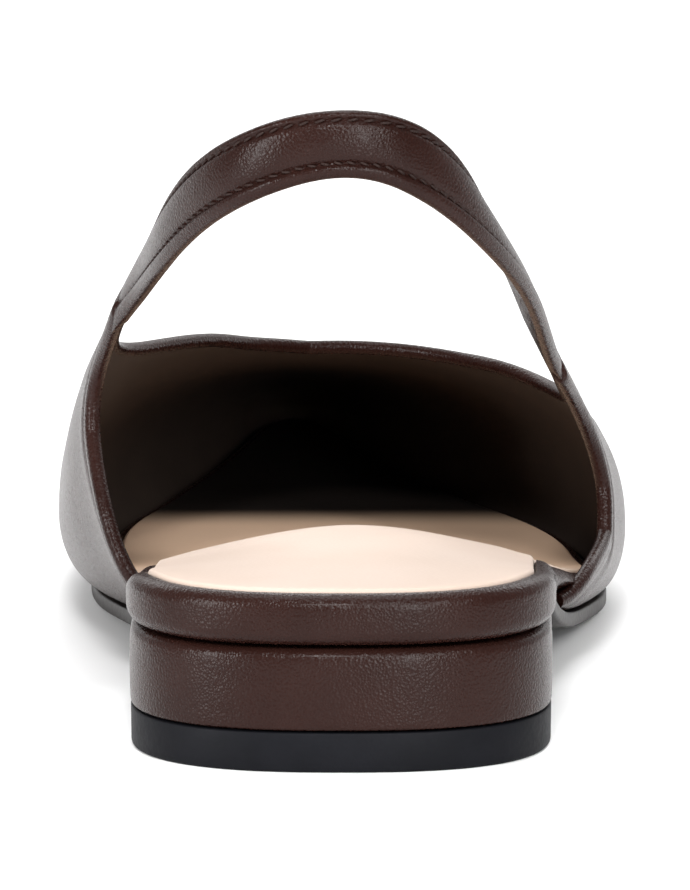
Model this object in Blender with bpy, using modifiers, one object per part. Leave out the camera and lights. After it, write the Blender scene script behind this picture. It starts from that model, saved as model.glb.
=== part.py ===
"""Right-foot slingback flat: pointed vamp with side wings, heel strap, covered insole and low block heel.

The shoe is worked out in its own frame first: x to the lateral side, y from the back of the heel to the
toe, z up from the floor. At the end everything hangs on one empty that brings the middle of the
bounding box's floor to the origin, with the toe towards +Y.
"""
import math

import bmesh
import bpy
import numpy as np

MM = 0.001

# Sizes of the whole shoe
SHOE_LENGTH = 264 * MM
HEEL_WIDTH = 60.6 * MM
BALL_WIDTH = 79 * MM
HEEL_HEIGHT = 17.3 * MM          # floor to the top of the heel block
TOE_SPRING = 4.5 * MM
GAP = 0.3 * MM                   # left between pieces that touch

# Heel
TOP_PIECE_THICKNESS = 5.6 * MM
TOP_PIECE_INSET = 0.7 * MM       # of its floor edge, inside the heel block
HEEL_LENGTH = 48 * MM            # back of the heel to its breast
HEEL_EDGE = 1.5 * MM             # rounding of the covered block's top edge
HEEL_BEVEL = 0.6 * MM            # small bevel at the foot of the heel block and of its top piece
HEEL_BACK_DEPTH = 28 * MM        # how far the rounded back of the heel reaches
HEEL_SQUARENESS = 2.5
HEEL_SLIMMING = 0.6 * MM         # the covered block stands inside the insole's edge

# Sole and insole
SOLE_THICKNESS = 2.3 * MM
SOLE_EDGE = 0.5 * MM
INSOLE_HEEL_THICKNESS = 7.2 * MM
INSOLE_EDGE = 2.1 * MM           # rounding of the leather-covered edge
INSOLE_TOE_INSET = 3.6 * MM      # of its lower face from the sole's edge, where it lies inside the upper
INSOLE_GAP = 0.45 * MM           # between the curved insole and the sole under it
LINING_GAP = 2.6 * MM            # between the insole's upper edge and the wall of the upper
WALL_REACH = (0.40, 0.56)        # shares of the length where the insole stops reaching out to the wall
LATERAL_STEP_IN = (0.235, 0.284) # shares of the length between which it draws in to pass inside the wing
MEDIAL_STEP_IN = (0.165, 0.235)
SOCK_THICKNESS = 1.1 * MM
SOCK_RECESS = 0.8 * MM
SOCK_BORDER = 3.0 * MM           # covered edge that shows round the sock at the heel
SOCK_TOE_BORDER = 1.0 * MM
SOCK_ROLL = 5 * MM               # width of the sock's level margin round its crown
SOCK_MARGIN = 0.5 * MM           # from the insole's rounded edge to the sock's recess
SOCK_BEVEL = 0.4 * MM
LATERAL_FALL = 0.8               # how far the insole falls to its lateral edge, as a share of the medial fall
DOME_RINGS = (0, 0.3, 0.65, 1)   # shares of the way to the spine of the rings that follow the dome
ARCH_PAD_HEIGHT = 2.6 * MM
ARCH_PAD_LENGTH = 21 * MM
ARCH_PAD_WIDTH = 12.5 * MM
ARCH_PAD_OFFSET = 2.6 * MM       # of the pad's crown, to the lateral side
TOE_ROUND = 12 * MM              # length of the rounded tip
TOE_SQUARENESS = 2.3

# Upper
WALL = 1.8 * MM
FEATHER_INSET = 1.0 * MM         # of the upper's lower edge, inside the sole's edge
FEATHER_ANGLE = math.radians(78) # how far the upper turns in under the foot
TURN_IN_HEIGHT = 3 * MM          # least height of the widest line over the upper's lower edge

# Strap
STRAP_WIDTH = 9.4 * MM
STRAP_THICKNESS = 2.2 * MM
STRAP_EDGE = 0.7 * MM
STRAP_HEIGHT = 86.7 * MM         # middle of the strap behind the heel
STRAP_SPREAD = 31 * MM           # half the distance between the strap's two sides at the wings

# Sole outline: along is a share of the shoe's length, lateral and medial are shares of the local width
OUTLINE = {
    "along":   (0.000, 0.110, 0.200, 0.284, 0.379, 0.436, 0.477, 0.549, 0.644, 0.758, 0.852, 0.928, 1.000),
    "lateral": (0.500, 0.500, 0.508, 0.516, 0.508, 0.511, 0.517, 0.513, 0.462, 0.308, 0.155, 0.060, -0.010),
    "medial":  (0.500, 0.499, 0.486, 0.461, 0.451, 0.460, 0.472, 0.488, 0.485, 0.400, 0.312, 0.246, 0.190),
}
WAIST = (0.20, 0.55)             # shares of the length between which the heel's width becomes the ball's

# Underside: rise is a share of the shank's height, spring of the toe spring, insole of its heel thickness,
# and fall is the share of the insole's thickness by which its edges lie lower than its middle
UNDERSIDE = {
    "along":  (0.000, 0.055, 0.182, 0.227, 0.273, 0.322, 0.379, 0.436,
               0.477, 0.520, 0.560, 0.720, 0.810, 0.900, 1.000),
    "rise":   (1.000, 1.000, 0.990, 0.780, 0.555, 0.370, 0.215, 0.112,
               0.060, 0.020, 0.000, 0.000, 0.000, 0.000, 0.000),
    "spring": (0.000, 0.000, 0.000, 0.000, 0.000, 0.000, 0.000, 0.000,
               0.000, 0.000, 0.000, 0.000, 0.170, 0.500, 1.000),
    "insole": (1.000, 1.000, 1.000, 1.090, 1.200, 1.150, 0.980, 0.745,
               0.580, 0.460, 0.420, 0.420, 0.420, 0.420, 0.420),
    "fall":   (0.000, 0.000, 0.640, 0.560, 0.470, 0.420, 0.340, 0.220,
               0.120, 0.050, 0.000, 0.000, 0.000, 0.000, 0.000),
}

# Last: bulges are shares of the ball's width beyond the upper's lower edge, heights shares of the instep
INSTEP_HEIGHT = 82 * MM
LAST = {
    "along":          (0.220, 0.303, 0.379, 0.455, 0.549, 0.625, 0.758, 0.852, 0.932, 1.000),
    "lateral_bulge":  (0.050, 0.066, 0.070, 0.058, 0.045, 0.042, 0.036, 0.028, 0.020, 0.014),
    "medial_bulge":   (0.095, 0.116, 0.128, 0.106, 0.070, 0.058, 0.044, 0.032, 0.022, 0.014),
    "lateral_widest": (0.300, 0.249, 0.203, 0.167, 0.148, 0.142, 0.138, 0.138, 0.138, 0.140),
    "medial_widest":  (0.470, 0.433, 0.316, 0.217, 0.158, 0.144, 0.138, 0.138, 0.138, 0.140),
    "ridge":          (1.000, 0.862, 0.714, 0.592, 0.513, 0.448, 0.356, 0.300, 0.250, 0.200),
    "ridge_side":     (-0.02, -0.02, -0.03, -0.045, -0.06, -0.064, -0.082, -0.092, -0.100, -0.105),
    "lateral_square": (2.05, 2.05, 2.20, 2.30, 2.20, 2.15, 2.10, 2.10, 2.10, 2.10),
    "medial_square":  (2.10, 2.12, 2.40, 2.50, 2.35, 2.20, 2.15, 2.10, 2.10, 2.10),
}

# Edge of the upper, from the throat back to the strap and down the wing to the sole.
# The first of each pair is a share of the shoe's length, the second a height as a share of the instep.
LATERAL_EDGE = {
    "topline": ((0.600, 0.444), (0.568, 0.438), (0.530, 0.421), (0.486, 0.419), (0.444, 0.438),
                (0.407, 0.478), (0.373, 0.526), (0.345, 0.574), (0.322, 0.624)),
    "back":    ((0.296, 0.545), (0.320, 0.514), (0.345, 0.474), (0.368, 0.422), (0.384, 0.361),
                (0.391, 0.297), (0.384, 0.237), (0.355, 0.186), (0.315, 0.161), (0.284, None)),
}
MEDIAL_EDGE = {
    "topline": ((0.600, 0.465), (0.568, 0.485), (0.511, 0.509), (0.455, 0.521), (0.409, 0.541),
                (0.371, 0.574), (0.333, 0.625), (0.295, 0.681), (0.260, 0.732)),
    "back":    ((0.235, 0.688), (0.265, 0.625), (0.290, 0.559), (0.298, 0.480), (0.290, 0.411),
                (0.277, 0.357), (0.265, 0.307), (0.257, 0.253), (0.252, 0.210), (0.250, None)),
}
THROAT = 0.628                   # share of the length where the vamp's topline crosses its ridge
COLUMNS = 48                     # of the upper's mesh on each side, from the strap's tab to the toe
TOPLINE_COLUMNS = 22             # of them, those whose upper end lies on the topline
BACK_EDGE_COLUMNS = 15           # of them, those whose lower end lies on the wing's back edge
ACROSS = 17
TOPLINE_CROWDING = 1.2           # how closely the columns stand towards the throat
TIP_CROWDING = 1.7               # and towards the toe's tip

# Free path of the strap: shares of STRAP_SPREAD, of HEEL_LENGTH and of STRAP_HEIGHT, and last the lean,
# which is how many degrees the strap's face looks up
STRAP_PATH = (
    (-0.903, 1.104, 0.727, 20), (-0.803, 0.708, 0.807, 11), (-0.640, 0.375, 0.897, 4),
    (-0.400, 0.167, 0.964, 2),
    (-0.100, 0.104, 1.000, 0), (0.190, 0.125, 0.995, 3), (0.430, 0.229, 0.945, 14), (0.615, 0.417, 0.865, 27),
    (0.768, 0.750, 0.766, 36), (0.860, 1.125, 0.677, 34),
)
STRAP_STEPS = 44
LAP_GAP = 0.7 * MM               # between a flat strap end and the curved wing over it
NORMAL_STEP = 1 * MM             # step along the shoe over which a wing's direction is measured
# Where the strap's ends lie inside the wings: shares of the shoe's length and of the instep
MEDIAL_LAP = ((0.330, 0.575), (0.292, 0.634), (0.256, 0.688))
LATERAL_LAP = ((0.304, 0.582), (0.332, 0.542), (0.358, 0.502))


def steady(table, column, at):
    """Value of a column at a share of the length, on a monotone cubic, so that level stretches stay level."""
    x, v = np.array(table["along"]), np.array(table[column])
    step = np.diff(x)
    slope = np.diff(v) / step
    tangent = np.zeros_like(v)
    for i in range(1, len(v) - 1):
        if slope[i - 1] * slope[i] > 0:
            a, b = 2 * step[i] + step[i - 1], step[i] + 2 * step[i - 1]
            tangent[i] = (a + b) / (a / slope[i - 1] + b / slope[i])
    tangent[0], tangent[-1] = slope[0], slope[-1]
    i = int(np.clip(np.searchsorted(x, at) - 1, 0, len(step) - 1))
    t = np.clip((at - x[i]) / step[i], 0, 1)
    return ((2 * t ** 3 - 3 * t ** 2 + 1) * v[i] + (t ** 3 - 2 * t ** 2 + t) * step[i] * tangent[i]
            + (3 * t ** 2 - 2 * t ** 3) * v[i + 1] + (t ** 3 - t ** 2) * step[i] * tangent[i + 1])


def spline_bends(x, v):
    """Second derivatives of the natural cubic spline through the points."""
    n = len(x)
    step = np.diff(x)
    system, right = np.eye(n), np.zeros(n)
    for i in range(1, n - 1):
        system[i, i - 1:i + 2] = step[i - 1], 2 * (step[i - 1] + step[i]), step[i]
        right[i] = 6 * ((v[i + 1] - v[i]) / step[i] - (v[i] - v[i - 1]) / step[i - 1])
    return np.linalg.solve(system, right)


def spline(x, v, at):
    """Value at one place of the natural cubic spline through the points."""
    x, v = np.array(x, float), np.array(v, float)
    bends = spline_bends(x, v)
    i = int(np.clip(np.searchsorted(x, at) - 1, 0, len(x) - 2))
    h = x[i + 1] - x[i]
    a, b = (x[i + 1] - at) / h, (at - x[i]) / h
    return a * v[i] + b * v[i + 1] + ((a ** 3 - a) * bends[i] + (b ** 3 - b) * bends[i + 1]) * h * h / 6


def smooth_step(at, start, end):
    t = min(max((at - start) / (end - start), 0.0), 1.0)
    return t * t * (3 - 2 * t)


def blend(a, b, share):
    return a + (b - a) * share


def local_width(y):
    """Sole width that the outline's shares refer to: the heel's behind the waist, the ball's ahead of it."""
    return blend(HEEL_WIDTH, BALL_WIDTH, smooth_step(y / SHOE_LENGTH, *WAIST))


def closing(y):
    """1 along the shoe, falling to 0 as a rounded end at the back of the heel and at the toe."""
    heel = min(max(y / HEEL_BACK_DEPTH, 0), 1)
    toe = min(max((SHOE_LENGTH - y) / TOE_ROUND, 0), 1)
    return ((1 - (1 - heel) ** HEEL_SQUARENESS) ** (1 / HEEL_SQUARENESS)
            * (1 - (1 - toe) ** TOE_SQUARENESS) ** (1 / TOE_SQUARENESS))


def sole_edge(y, side):
    """x of the sole's outline at y; side is 1 for lateral and -1 for medial."""
    at, width = y / SHOE_LENGTH, local_width(y)
    lateral = width * spline(OUTLINE["along"], OUTLINE["lateral"], at)
    medial = width * spline(OUTLINE["along"], OUTLINE["medial"], at)
    return (lateral - medial) / 2 + side * (lateral + medial) / 2 * closing(y)


def underside(y):
    """z of the outsole's lower face: level under the ball, rising to the shank and at the toe."""
    at = y / SHOE_LENGTH
    shank = HEEL_HEIGHT - SOLE_THICKNESS
    return steady(UNDERSIDE, "rise", at) * shank + steady(UNDERSIDE, "spring", at) * TOE_SPRING


def sole_top(y):
    return underside(y) + SOLE_THICKNESS


def insole_thickness(y):
    return steady(UNDERSIDE, "insole", y / SHOE_LENGTH) * INSOLE_HEEL_THICKNESS


def insole_middle(y):
    return sole_top(y) + INSOLE_GAP + insole_thickness(y)


def insole_fall(y, side):
    """How much lower the insole's edge lies than its middle."""
    fall = steady(UNDERSIDE, "fall", y / SHOE_LENGTH) * insole_thickness(y)
    return fall if side < 0 else fall * LATERAL_FALL


def insole_top(x, y):
    """Height of the insole's upper face, which is domed from the heel seat to the ball."""
    lateral, medial = sole_edge(y, 1), sole_edge(y, -1)
    middle, half = (lateral + medial) / 2, max((lateral - medial) / 2, GAP)
    return insole_middle(y) - insole_fall(y, x - middle) * min(((x - middle) / half) ** 2, 1)


def arch_pad(x, y):
    """Height of the sock's soft crown over the arch."""
    along = (y - 0.275 * SHOE_LENGTH) / ARCH_PAD_LENGTH
    across = (x - ARCH_PAD_OFFSET) / ARCH_PAD_WIDTH
    return ARCH_PAD_HEIGHT * math.exp(-0.5 * (along ** 2 + across ** 2))


def insole_inset(y, side, share):
    """The covered insole is flush with the sole at the heel and lies inside the upper ahead of the wings.

    share is 0 at its lower face and 1 at its upper face, which reaches out to the upper's wall."""
    step_in = LATERAL_STEP_IN if side > 0 else MEDIAL_STEP_IN
    wall_x = last_point(y, side, turn_at(y, side, insole_middle(y) - insole_fall(y, side)))[0]
    upper_inset = side * (sole_edge(y, side) - wall_x) + WALL + LINING_GAP
    reach = share * (1 - smooth_step(y / SHOE_LENGTH, *WALL_REACH))
    inset = blend(INSOLE_TOE_INSET, min(upper_inset, INSOLE_TOE_INSET), reach)
    return blend(0.0, inset, smooth_step(y / SHOE_LENGTH, *step_in))


def outline_ring(inset, start, end, count):
    """Closed outline, moved inwards by inset(y, side): lateral side to the front, then medial side back.

    Each point is (x, y, y before the move); the last lets both sides share one spine point."""
    stations = [start + (end - start) * (1 - math.cos(math.pi * i / count)) / 2 for i in range(count + 1)]
    sides = []
    for side in (1, -1):
        base = [np.array((sole_edge(y, side), y)) for y in stations]
        points = []
        for i, y in enumerate(stations):
            tip = (i == 0 and start <= 0) or (i == count and end >= SHOE_LENGTH)
            along = np.array((side, 0.0)) if tip else base[min(i + 1, count)] - base[max(i - 1, 0)]
            if tip and i == count:
                along = -along
            along = along / np.linalg.norm(along)
            inward = np.array((-along[1], along[0])) * side
            moved = base[i] + inward * inset(y, side)
            points.append((moved[0], min(max(moved[1], start + inset(y, side)), end - inset(y, side)), y))
        sides.append(points)
    lateral, medial = sides
    if start <= 0:
        medial = medial[1:]
    if end >= SHOE_LENGTH:
        medial = medial[:-1]
    return lateral + medial[::-1]


def finish_mesh(name, verts, faces, material, smooth_angle=35):
    """Welds the points and adds the object with its material."""
    mesh = bpy.data.meshes.new(name)
    bm = bmesh.new()
    made = [bm.verts.new(v) for v in verts]
    for face in faces:
        corners = [made[i] for i in face]
        if len(set(corners)) > 2:
            bm.faces.new(corners)
    bmesh.ops.remove_doubles(bm, verts=bm.verts, dist=0.00001)
    bmesh.ops.dissolve_degenerate(bm, edges=bm.edges, dist=0.000005)
    bm.to_mesh(mesh)
    bm.free()
    mesh.materials.append(material)
    mesh.shade_smooth()
    mesh.set_sharp_from_angle(angle=math.radians(smooth_angle))
    obj = bpy.data.objects.new(name, mesh)
    collection.objects.link(obj)
    obj.parent = shoe_origin
    return obj


def ring_faces(rings, size):
    """Quads between each ring of points and the next."""
    faces = []
    for r in range(rings - 1):
        for k in range(size):
            after = (k + 1) % size
            faces.append((r * size + k, r * size + after, (r + 1) * size + after, (r + 1) * size + k))
    return faces


def layered_piece(name, levels, start, end, count, material):
    """Solid between two curved faces, made of rings from the lower face's spine to the upper face's.

    Each level is (inset function, share of the way to the spine, height function of x and y)."""
    verts = []
    half = sole_edge((start + end) / 2, 1) * 0.5
    for inset, to_spine, height in levels:
        ring = outline_ring(inset, start, end, count)
        for x, y, station in ring:
            spine_y = min(max(station, start + half), end - half)
            spine_x = (sole_edge(spine_y, 1) + sole_edge(spine_y, -1)) / 2
            px, py = blend(x, spine_x, to_spine), blend(y, spine_y, to_spine)
            verts.append((px, py, height(px, py)))
    return finish_mesh(name, verts, ring_faces(len(levels), len(ring)), material)


def heel_slice(name, levels, material):
    """Piece of the heel with level faces: rings of the heel's outline, each (z, inset), and two flat caps."""
    verts = []
    for z, inset in levels:
        ring = outline_ring(lambda y, side: inset, 0.0, HEEL_LENGTH, 22)
        verts += [(x, y, z) for x, y, _ in ring]
    size = len(ring)
    faces = ring_faces(len(levels), size)
    faces.append(tuple(range(size))[::-1])
    faces.append(tuple(range((len(levels) - 1) * size, len(levels) * size)))
    return finish_mesh(name, verts, faces, material)


def make_material(name, color, roughness):
    material = bpy.data.materials.new(name)
    material.use_nodes = True
    shader = material.node_tree.nodes["Principled BSDF"]
    shader.inputs["Base Color"].default_value = (*color, 1)
    shader.inputs["Roughness"].default_value = roughness
    shader.inputs["Metallic"].default_value = 0
    return material


def make_top_piece():
    """Black rubber top piece that the heel stands on."""
    top = TOP_PIECE_THICKNESS
    levels = ((0.0, TOP_PIECE_INSET + HEEL_BEVEL), (HEEL_BEVEL, TOP_PIECE_INSET), (top, HEEL_SLIMMING))
    return heel_slice("heel_top_piece", levels, rubber)


def make_heel_block():
    """Leather-covered heel block with softly rounded edges."""
    low, high = TOP_PIECE_THICKNESS + GAP, HEEL_HEIGHT
    levels = [(low, HEEL_SLIMMING + HEEL_BEVEL / 2), (low + HEEL_BEVEL, HEEL_SLIMMING)]
    for i in range(5):
        turn = math.radians(90 * i / 4)
        inset = HEEL_SLIMMING + HEEL_EDGE * (1 - math.cos(turn))
        levels.append((high - HEEL_EDGE * (1 - math.sin(turn)), inset))
    return heel_slice("heel_block", levels, leather)


def make_outsole():
    """Thin outsole from the heel's breast to the toe."""
    def flat(x, y): return underside(y)
    def low(x, y): return underside(y) + SOLE_EDGE
    def high(x, y): return sole_top(y)
    def none(y, side): return 0.0
    def edge(y, side): return SOLE_EDGE
    levels = [(edge, 1, flat), (edge, 0.5, flat), (edge, 0, flat), (none, 0, low), (none, 0, high),
              (none, 0.5, high), (none, 1, high)]
    return layered_piece("outsole", levels, HEEL_LENGTH + GAP, SHOE_LENGTH, 30, sole_material)


def make_covered_insole():
    """Insole board wrapped in leather: the thick rounded edge at the heel, thin inside the upper."""
    levels = []
    def bottom(x, y): return sole_top(y) + INSOLE_GAP
    def recessed(x, y): return insole_top(x, y) - SOCK_RECESS
    def inset_by(extra, share):
        return lambda y, side: insole_inset(y, side, share) + extra * edge_size(y)
    def edge_size(y):
        return INSOLE_EDGE * blend(1, 0.4, smooth_step(y / SHOE_LENGTH, 0.2, 0.44))
    def from_bottom(turn):
        return lambda x, y: bottom(x, y) + edge_size(y) * (1 - math.cos(turn))
    def from_top(turn):
        return lambda x, y: insole_top(x, y) - edge_size(y) * (1 - math.cos(turn))
    levels.append((inset_by(1, 0), 1, bottom))
    levels.append((inset_by(1, 0), 0.5, bottom))
    for i in range(4):
        turn = math.radians(90 * i / 3)
        levels.append((inset_by(1 - math.sin(turn), 0), 0, from_bottom(turn)))
    for i in range(4):
        turn = math.radians(90 * (3 - i) / 3)
        levels.append((inset_by(1 - math.sin(turn), 1), 0, from_top(turn)))
    def recess(y, side): return insole_inset(y, side, 1) + sock_border(y)
    levels.append((lambda y, side: recess(y, side) - GAP, 0, insole_top))
    levels += [(recess, to_spine, recessed) for to_spine in DOME_RINGS]
    return layered_piece("covered_insole", levels, 0.0, SHOE_LENGTH, 34, leather)


def sock_border(y):
    edge = INSOLE_EDGE + SOCK_MARGIN
    return blend(max(SOCK_BORDER, edge), SOCK_TOE_BORDER + GAP, smooth_step(y / SHOE_LENGTH, 0.2, 0.44))


def make_sock():
    """Pale sock lining with its soft crown over the arch."""
    def border(y, side): return insole_inset(y, side, 1) + sock_border(y) + GAP
    def inner(y, side): return border(y, side) + SOCK_ROLL
    def bottom(x, y): return insole_top(x, y) - SOCK_RECESS + GAP
    def top(x, y): return bottom(x, y) + SOCK_THICKNESS + arch_pad(x, y)
    levels = [(border, to_spine, bottom) for to_spine in reversed(DOME_RINGS)]
    levels += [(border, 0, lambda x, y: bottom(x, y) + SOCK_THICKNESS * 0.7),
               (lambda y, side: border(y, side) + SOCK_BEVEL, 0, lambda x, y: bottom(x, y) + SOCK_THICKNESS),
               (inner, 0, top), (inner, 0.3, top), (inner, 0.65, top), (inner, 1, top)]
    return layered_piece("sock_lining", levels, 0.0, SHOE_LENGTH, 34, sock_material)


def last_value(column, y):
    return spline(LAST["along"], LAST[column], y / SHOE_LENGTH)


def toe_closing(y):
    toe = min(max((SHOE_LENGTH - FEATHER_INSET - y) / TOE_ROUND, 0), 1)
    return (1 - (1 - toe) ** TOE_SQUARENESS) ** (1 / TOE_SQUARENESS)


def section(y, side):
    """Sizes of the last's cross-section at y: ridge x, widest x, lower edge x, lower, widest and ridge z."""
    at, width = y / SHOE_LENGTH, local_width(y)
    lateral = width * spline(OUTLINE["along"], OUTLINE["lateral"], at)
    medial = width * spline(OUTLINE["along"], OUTLINE["medial"], at)
    middle, half = (lateral - medial) / 2, (lateral + medial) / 2 - FEATHER_INSET
    close = toe_closing(y)
    name = "lateral" if side > 0 else "medial"
    bulge = BALL_WIDTH * last_value(name + "_bulge", y)
    feather = middle + side * half * close
    widest = middle + side * (half + bulge) * close
    ridge_x = blend(middle, BALL_WIDTH * last_value("ridge_side", y), close)
    low = sole_top(y) + GAP
    wide_z = max(INSTEP_HEIGHT * last_value(name + "_widest", y), low + TURN_IN_HEIGHT)
    ridge_z = wide_z + (INSTEP_HEIGHT * last_value("ridge", y) - wide_z) * close
    return ridge_x, widest, feather, low, wide_z, ridge_z, last_value(name + "_square", y)


def last_point(y, side, turn):
    """Point of the upper's outer face: turn is 1 at the ridge, 0 at the widest line, -1 at the lower edge."""
    ridge_x, widest, feather, low, wide_z, ridge_z, squareness = section(y, side)
    if turn >= 0:
        angle = turn * math.pi / 2
        across = max(math.cos(angle), 0) ** (2 / squareness)
        up = math.sin(angle) ** (2 / squareness)
        return ridge_x + (widest - ridge_x) * across, y, wide_z + (ridge_z - wide_z) * up
    angle = -turn * FEATHER_ANGLE
    inward = (1 - math.cos(angle)) / (1 - math.cos(FEATHER_ANGLE))
    down = math.sin(angle) / math.sin(FEATHER_ANGLE)
    return blend(widest, feather, inward), y, blend(wide_z, low, down)


def turn_at(y, side, z):
    """Turn of the outer face at a height, the inverse of last_point."""
    _, _, _, low, wide_z, ridge_z, squareness = section(y, side)
    if z is None:
        return -1.0
    if z >= wide_z:
        share = min((z - wide_z) / (ridge_z - wide_z), 1)
        return math.asin(share ** (squareness / 2)) / (math.pi / 2)
    share = min((wide_z - z) / (wide_z - low), 1)
    return -math.asin(share * math.sin(FEATHER_ANGLE)) / FEATHER_ANGLE


def edge_curve(points, side, steps, crowding=1):
    """Smooth curve through points of the upper's free edge, as (y, turn) pairs, crowded to its start."""
    ys = [along * SHOE_LENGTH for along, _ in points]
    turns = [turn_at(y, side, None if h is None else h * INSTEP_HEIGHT) for y, (_, h) in zip(ys, points)]
    knots = np.linspace(0, 1, len(points))
    shares = np.linspace(0, 1, steps + 1) ** crowding
    return [(spline(knots, ys, s), min(max(spline(knots, turns, s), -1), 1)) for s in shares]


def towards_tip(start, steps):
    """Places ahead of start, ever closer together up to the toe's tip."""
    end = SHOE_LENGTH - FEATHER_INSET
    return [start + (end - start) * (1 - (1 - i / steps) ** TIP_CROWDING) for i in range(1, steps + 1)]


def upper_columns(side, edge):
    """Columns of outer-face points on one side, from the strap's tab forward to the toe's tip.

    Each column runs from the topline or the ridge down to the wing's back edge or the lower edge."""
    top = edge_curve(((THROAT, 1.0),) + edge["topline"], side, TOPLINE_COLUMNS, TOPLINE_CROWDING)[::-1]
    top += [(y, 1.0) for y in towards_tip(THROAT * SHOE_LENGTH, COLUMNS - TOPLINE_COLUMNS)]
    low = edge_curve(edge["back"], side, BACK_EDGE_COLUMNS)
    low += [(y, -1.0) for y in towards_tip(low[-1][0], COLUMNS - BACK_EDGE_COLUMNS)]
    columns = []
    for (high_y, high_turn), (low_y, low_turn) in zip(top, low):
        shares = np.linspace(0, 1, ACROSS + 1)
        column = [(blend(high_y, low_y, s), blend(high_turn, low_turn, s)) for s in shares]
        columns.append([last_point(y, side, turn) for y, turn in column])
    return columns


def make_upper():
    """Hollow vamp and wings: an open surface, joined along the ridge and thickened inwards."""
    verts, faces = [], []
    for side, edge in ((-1, MEDIAL_EDGE), (1, LATERAL_EDGE)):
        columns = upper_columns(side, edge)
        size, first = len(columns[0]), len(verts)
        verts += [p for column in columns for p in column]
        for c in range(COLUMNS):
            for k in range(first + c * size, first + (c + 1) * size - 1):
                face = (k, k + 1, k + size + 1, k + size)
                faces.append(face if side > 0 else face[::-1])
    upper = finish_mesh("upper", verts, faces, leather, 50)
    wall = upper.modifiers.new("wall", "SOLIDIFY")
    wall.thickness = WALL
    wall.offset = -1
    return upper


def wing_normal(y, side, turn):
    """Outward direction of the upper's outer face."""
    here = np.array(last_point(y, side, turn))
    forward = np.array(last_point(y + NORMAL_STEP, side, turn)) - here
    upward = np.array(last_point(y, side, turn + 0.02)) - here
    normal = np.cross(forward, upward) * side
    return normal / np.linalg.norm(normal)


def tucked_station(side, along, height):
    """Middle of the strap and its outward direction where it lies inside a wing."""
    y = along * SHOE_LENGTH
    turn = turn_at(y, side, height * INSTEP_HEIGHT)
    normal = wing_normal(y, side, turn)
    return np.array(last_point(y, side, turn)) - normal * (WALL + LAP_GAP + STRAP_THICKNESS / 2), normal


def strap_stations():
    """Middle line and outward directions: out of one wing, round behind the heel and into the other."""
    start = [tucked_station(-1, *place) for place in MEDIAL_LAP]
    end = [tucked_station(1, *place) for place in LATERAL_LAP]
    free = [np.array((s * STRAP_SPREAD, y * HEEL_LENGTH, h * STRAP_HEIGHT)) for s, y, h, _ in STRAP_PATH]
    middle = [p for p, _ in start] + free + [p for p, _ in end]
    along = np.gradient(np.array(middle), axis=0)
    outward = np.cross(along, (0.0, 0.0, 1.0))
    outward /= np.linalg.norm(outward, axis=1)[:, None]
    for i, (_, _, _, lean) in enumerate(STRAP_PATH, len(start)):
        angle = math.radians(lean)
        outward[i] = outward[i] * math.cos(angle) + np.array((0, 0, math.sin(angle)))
    outward[:len(start)] = [n for _, n in start]
    outward[-len(end):] = [n for _, n in end]
    return np.array(middle), outward


def make_strap():
    """Heel strap with rounded edges, its ends lapped inside the wings."""
    knots, directions = strap_stations()
    places = np.concatenate(([0], np.cumsum(np.linalg.norm(np.diff(knots, axis=0), axis=1))))
    fine = np.linspace(0, places[-1], STRAP_STEPS)
    middle = np.array([[spline(places, knots[:, i], s) for i in range(3)] for s in fine])
    out = np.array([[spline(places, directions[:, i], s) for i in range(3)] for s in fine])
    along = np.gradient(middle, axis=0)
    along /= np.linalg.norm(along, axis=1)[:, None]
    out -= along * (out * along).sum(axis=1)[:, None]
    out /= np.linalg.norm(out, axis=1)[:, None]
    up = np.cross(out, along)
    half_w, half_t, edge = STRAP_WIDTH / 2, STRAP_THICKNESS / 2, STRAP_EDGE
    profile = ((half_t, edge - half_w), (half_t - edge, -half_w),
               (edge - half_t, -half_w), (-half_t, edge - half_w),
               (-half_t, half_w - edge), (edge - half_t, half_w),
               (half_t - edge, half_w), (half_t, half_w - edge))
    verts = [tuple(middle[i] + out[i] * a + up[i] * b) for i in range(len(fine)) for a, b in profile]
    size = len(profile)
    faces = ring_faces(len(fine), size)
    faces.append(tuple(range(size))[::-1])
    faces.append(tuple(range(len(verts) - size, len(verts))))
    return finish_mesh("sling_strap", verts, faces, leather)


def place_origin(pieces):
    """Moves the whole shoe so that the middle of its bounding box's floor is the origin."""
    bpy.context.view_layer.update()
    points = np.array([obj.matrix_world @ v.co for obj in pieces for v in obj.data.vertices])
    low, high = points.min(axis=0), points.max(axis=0)
    shoe_origin.location = (-(low[0] + high[0]) / 2, -(low[1] + high[1]) / 2, -low[2])


for old in list(bpy.data.objects):
    bpy.data.objects.remove(old)

collection = bpy.data.collections.new("slingback_flat")
bpy.context.scene.collection.children.link(collection)
shoe_origin = bpy.data.objects.new("shoe_origin", None)
collection.objects.link(shoe_origin)

leather = make_material("brown_leather", (0.060, 0.033, 0.028), 0.42)
sock_material = make_material("pale_sock", (0.86, 0.72, 0.62), 0.6)
sole_material = make_material("sole_compound", (0.03, 0.027, 0.027), 0.5)
rubber = make_material("black_rubber", (0.014, 0.015, 0.018), 0.6)

pieces = [make_top_piece(), make_heel_block(), make_outsole(), make_covered_insole(), make_sock(),
          make_upper(), make_strap()]
place_origin(pieces)
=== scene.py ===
import math

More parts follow.
